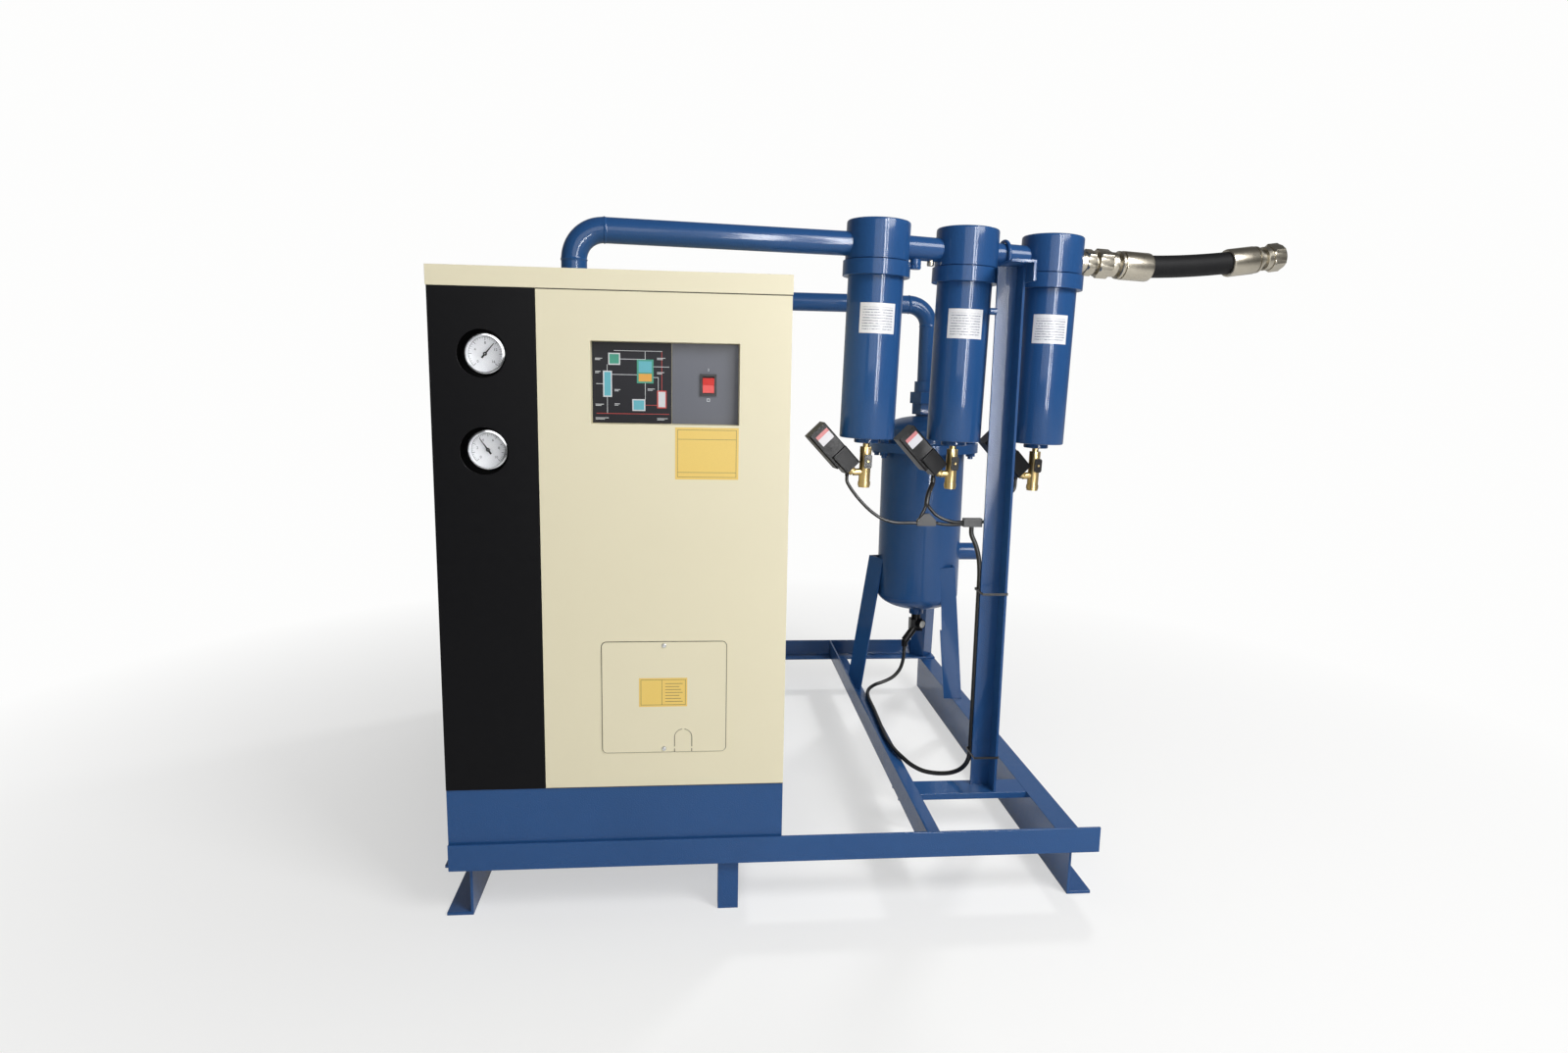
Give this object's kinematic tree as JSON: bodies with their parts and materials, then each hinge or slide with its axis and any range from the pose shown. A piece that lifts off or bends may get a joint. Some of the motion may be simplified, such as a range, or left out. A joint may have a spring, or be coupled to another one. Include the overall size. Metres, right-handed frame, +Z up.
{
  "type": "refrigerated air dryer",
  "caption": "Skid-mounted refrigerated compressed-air dryer: cabinet, line filters with timer drains, water separator vessel, piping and outlet hose.",
  "frame": {"origin": "floor level, at the centre of the footprint measured without the outlet hose and its fittings", "axes": "+X to the right along the front rail and out of the air inlet stub, +Y to the back, +Z up"},
  "size_m": [1.7741, 1.295, 1.3095],
  "materials": {
    "blue_paint": "gloss paint with a slight orange peel",
    "cream_paint": "satin powder coat",
    "black_paint": "satin powder coat",
    "display_face": "semi-gloss printed plate",
    "grey_plate": "satin",
    "switch_black": "moulded",
    "switch_red": "moulded, translucent look",
    "gauge_steel": "polished bezel with white dial behind glass",
    "pointer_black": "matt",
    "screw_steel": "zinc plated",
    "machine_black": "semi-gloss",
    "insulation": "closed foam cladding",
    "fin_aluminium": "mill finish",
    "brass": "turned, lightly dulled",
    "black_plastic": "moulded",
    "filter_medium": "pleated medium",
    "nickel": "plated",
    "handle_black": "moulded sleeve",
    "hose_rubber": "smooth cover",
    "cable_black": "matt sheath"
  },
  "bodies": {
    "dryer": {"left_runner": "blue_paint", "right_runner": "blue_paint", "front_rail": "blue_paint", "rear_rail": "blue_paint", "middle_rail": "blue_paint", "cross_member": "blue_paint", "center_legs": "blue_paint", "base_plinth": "blue_paint", "outlet_pipe": "blue_paint", "inlet_pipe": "blue_paint", "pipe_union": "blue_paint", "filter_1_head": "blue_paint", "filter_2_head": "blue_paint", "filter_3_head": "blue_paint", "filter_1_bowl": "blue_paint", "filter_2_bowl": "blue_paint", "filter_3_bowl": "blue_paint", "link_pipes": "blue_paint", "post": "blue_paint", "separator_shell": "blue_paint", "separator_lid": "blue_paint", "separator_legs": "blue_paint", "left_side_panel": "cream_paint", "right_side_panel": "cream_paint", "rear_panel": "cream_paint", "top_cover": "cream_paint", "front_panel": "cream_paint", "access_cover": "cream_paint", "black_fascia": "black_paint", "display_plate": "display_face", "switch_plate": "grey_plate", "switch_housing": "switch_black", "upper_gauge_case": "gauge_steel", "lower_gauge_case": "gauge_steel", "access_screws": "screw_steel", "flange_bolts": "screw_steel", "u_bolt": "screw_steel", "compressor": "machine_black", "fan_shroud": "machine_black", "heat_exchanger": "insulation", "condenser": "fin_aluminium", "drain_1_valve": "brass", "drain_2_valve": "brass", "drain_3_valve": "brass", "drain_1_timer": "black_plastic", "drain_2_timer": "black_plastic", "drain_3_timer": "black_plastic", "separator_drain": "black_plastic", "filter_elements": "filter_medium", "hose_fittings": "nickel", "hose": "hose_rubber", "valve_harness": "cable_black", "trunk_cable": "cable_black"},
    "power_rocker": {"switch_rocker": "switch_red"},
    "upper_pointer": {"upper_gauge_pointer": "pointer_black"},
    "lower_pointer": {"lower_gauge_pointer": "pointer_black"},
    "drain_handle_1": {"drain_1_handle": "handle_black"},
    "drain_handle_2": {"drain_2_handle": "handle_black"},
    "drain_handle_3": {"drain_3_handle": "handle_black"},
    "fan": {"fan_rotor": "machine_black"}
  },
  "joints": [
    {"name": "power_rocker_hinge", "type": "hinge", "parent": "dryer", "child": "power_rocker", "pos_m": [-0.16601, -0.6237, 0.971], "axis": [1, 0, 0], "range_deg": [-18, 0]},
    {"name": "upper_pointer_hinge", "type": "hinge", "parent": "dryer", "child": "upper_pointer", "pos_m": [-0.54081, -0.6127, 1.016], "axis": [0, 1, 0], "range_deg": [-175, 95]},
    {"name": "lower_pointer_hinge", "type": "hinge", "parent": "dryer", "child": "lower_pointer", "pos_m": [-0.54081, -0.6127, 0.8546], "axis": [0, 1, 0], "range_deg": [-100, 170]},
    {"name": "drain_handle_1_hinge", "type": "hinge", "parent": "dryer", "child": "drain_handle_1", "pos_m": [0.16968, -0.3081, 0.81615], "axis": [0.1392, -0.9903, 0], "range_deg": [0, 90]},
    {"name": "drain_handle_2_hinge", "type": "hinge", "parent": "dryer", "child": "drain_handle_2", "pos_m": [0.36371, -0.28083, 0.81102], "axis": [0.1392, -0.9903, 0], "range_deg": [0, 90]},
    {"name": "drain_handle_3_hinge", "type": "hinge", "parent": "dryer", "child": "drain_handle_3", "pos_m": [0.55773, -0.25357, 0.80589], "axis": [0.1392, -0.9903, 0], "range_deg": [0, 90]},
    {"name": "fan_hinge", "type": "hinge", "parent": "dryer", "child": "fan", "pos_m": [-0.32541, 0.5215, 0.64], "axis": [0, 1, 0], "continuous": true}
  ]
}
